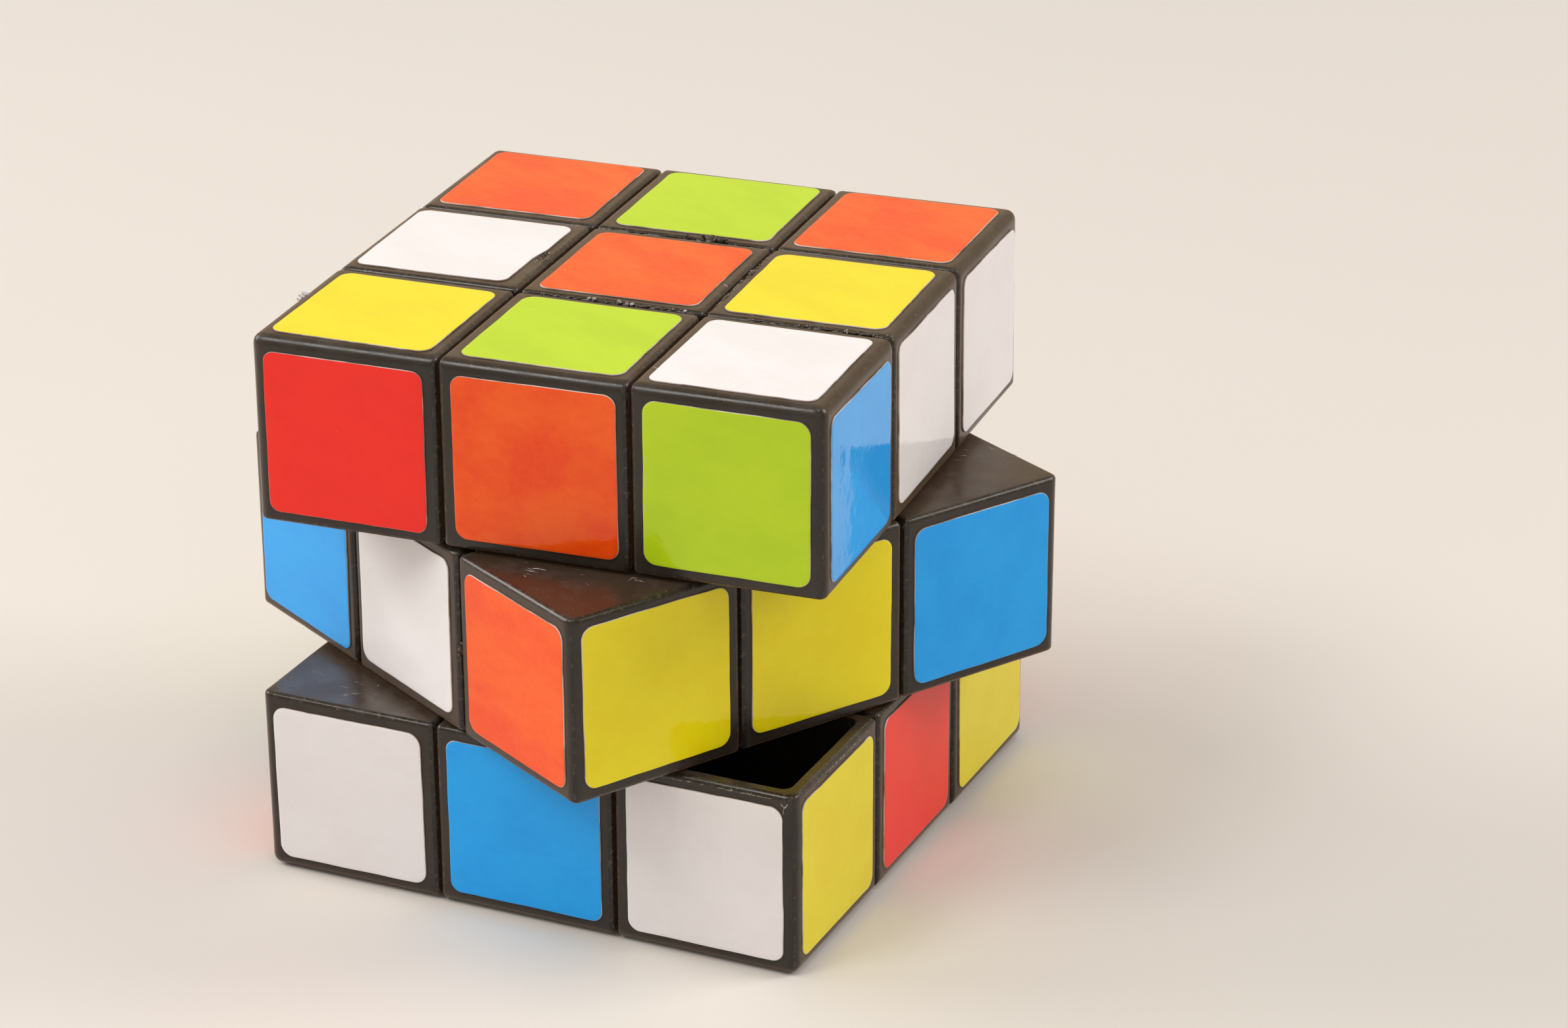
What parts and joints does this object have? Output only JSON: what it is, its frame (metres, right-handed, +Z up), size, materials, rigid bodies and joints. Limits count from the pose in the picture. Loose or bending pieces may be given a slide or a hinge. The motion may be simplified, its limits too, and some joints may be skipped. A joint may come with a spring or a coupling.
{
  "type": "twisty puzzle cube",
  "caption": "Hand-held twisty puzzle cube with coloured stickers on black hollow cubies; its top and bottom layers turn freely on a sprung core.",
  "frame": {"origin": "on the ground plane under the middle of the cube, at the outer face of the bottom centre sticker", "axes": "+Z up along the axis that the top and bottom layers turn about; X and Y along the core's side arms, with -Y out of the front of the middle layer"},
  "size_m": [0.0782, 0.0782, 0.0573],
  "materials": {
    "black_plastic": "satin moulded black plastic with rubbed edges",
    "core_plastic": "plain moulded dark plastic",
    "steel": "plated steel",
    "sticker_white": "glossy vinyl",
    "sticker_yellow": "glossy vinyl",
    "sticker_orange": "glossy vinyl",
    "sticker_red": "glossy vinyl",
    "sticker_green": "glossy vinyl",
    "sticker_blue": "glossy vinyl"
  },
  "bodies": {
    "middle_layer": {"core": "core_plastic", "core_screws": "steel", "centre_springs": "steel", "spring_washers": "steel", "centre_hub_front": "black_plastic", "centre_hub_left": "black_plastic", "centre_hub_right": "black_plastic", "centre_hub_back": "black_plastic", "centre_cap_front": "black_plastic", "centre_cap_left": "black_plastic", "centre_cap_right": "black_plastic", "centre_cap_back": "black_plastic", "edge_shell_front_left": "black_plastic", "edge_shell_front_right": "black_plastic", "edge_shell_back_left": "black_plastic", "edge_shell_back_right": "black_plastic", "edge_feet_middle": "core_plastic", "stickers_middle_white": "sticker_white", "stickers_middle_yellow": "sticker_yellow", "stickers_middle_orange": "sticker_orange", "stickers_middle_red": "sticker_red", "stickers_middle_green": "sticker_green", "stickers_middle_blue": "sticker_blue"},
    "top_layer": {"centre_hub_top": "black_plastic", "centre_cap_top": "black_plastic", "edge_shell_top_front": "black_plastic", "edge_shell_top_left": "black_plastic", "edge_shell_top_right": "black_plastic", "edge_shell_top_back": "black_plastic", "corner_shell_top_front_left": "black_plastic", "corner_shell_top_front_right": "black_plastic", "corner_shell_top_back_left": "black_plastic", "corner_shell_top_back_right": "black_plastic", "corner_feet_top": "core_plastic", "edge_feet_top": "core_plastic", "stickers_top_white": "sticker_white", "stickers_top_yellow": "sticker_yellow", "stickers_top_orange": "sticker_orange", "stickers_top_red": "sticker_red", "stickers_top_green": "sticker_green", "stickers_top_blue": "sticker_blue"},
    "bottom_layer": {"centre_hub_bottom": "black_plastic", "centre_cap_bottom": "black_plastic", "edge_shell_bottom_front": "black_plastic", "edge_shell_bottom_left": "black_plastic", "edge_shell_bottom_right": "black_plastic", "edge_shell_bottom_back": "black_plastic", "corner_shell_bottom_front_left": "black_plastic", "corner_shell_bottom_front_right": "black_plastic", "corner_shell_bottom_back_left": "black_plastic", "corner_shell_bottom_back_right": "black_plastic", "edge_feet_bottom": "core_plastic", "corner_feet_bottom": "core_plastic", "stickers_bottom_white": "sticker_white", "stickers_bottom_yellow": "sticker_yellow", "stickers_bottom_orange": "sticker_orange", "stickers_bottom_red": "sticker_red", "stickers_bottom_green": "sticker_green", "stickers_bottom_blue": "sticker_blue"}
  },
  "joints": [
    {"name": "top_turn", "type": "hinge", "parent": "middle_layer", "child": "top_layer", "pos_m": [0, 0, 0.02865], "axis": [0, 0, 1], "continuous": true},
    {"name": "bottom_turn", "type": "hinge", "parent": "middle_layer", "child": "bottom_layer", "pos_m": [0, 0, 0.02865], "axis": [0, 0, 1], "continuous": true}
  ]
}
